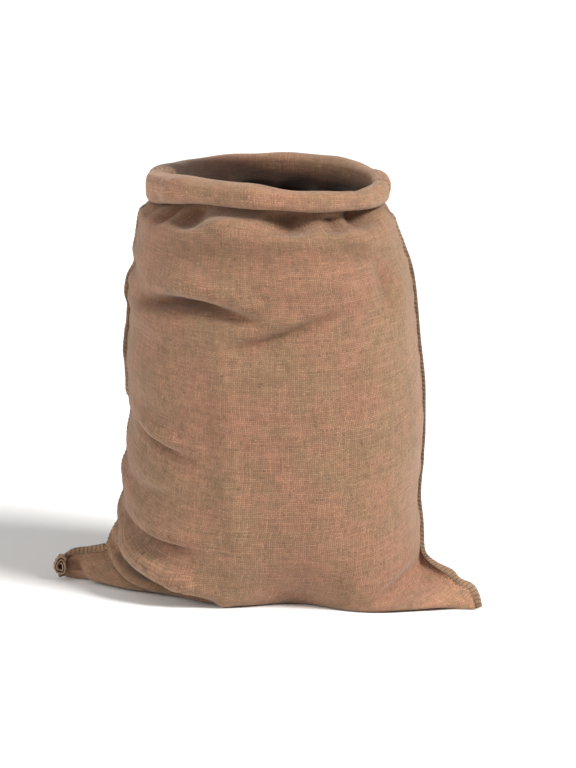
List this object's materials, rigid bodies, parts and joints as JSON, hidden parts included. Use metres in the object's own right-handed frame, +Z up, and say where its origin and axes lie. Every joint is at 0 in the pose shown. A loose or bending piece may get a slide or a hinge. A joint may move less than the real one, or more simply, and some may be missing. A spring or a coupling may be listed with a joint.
{
  "type": "burlap sack",
  "caption": "Open burlap sack standing upright, with a rolled-down mouth, sewn sides and flat bottom corners, for holding loose goods.",
  "frame": {"origin": "on the floor, under the middle of the sack's box", "axes": "+Z up towards the open mouth, -Y out of the front, +X towards the right side seam"},
  "size_m": [0.5782, 0.3475, 0.5879],
  "materials": {
    "burlap": "coarse plain weave of jute yarn, matt and slightly hairy",
    "seam_edge": "two raw burlap edges bound with an overlock stitch in jute-coloured thread"
  },
  "bodies": {
    "root": {"sack_cloth": "burlap", "seam_left": "seam_edge", "seam_right": "seam_edge"}
  },
  "joints": []
}
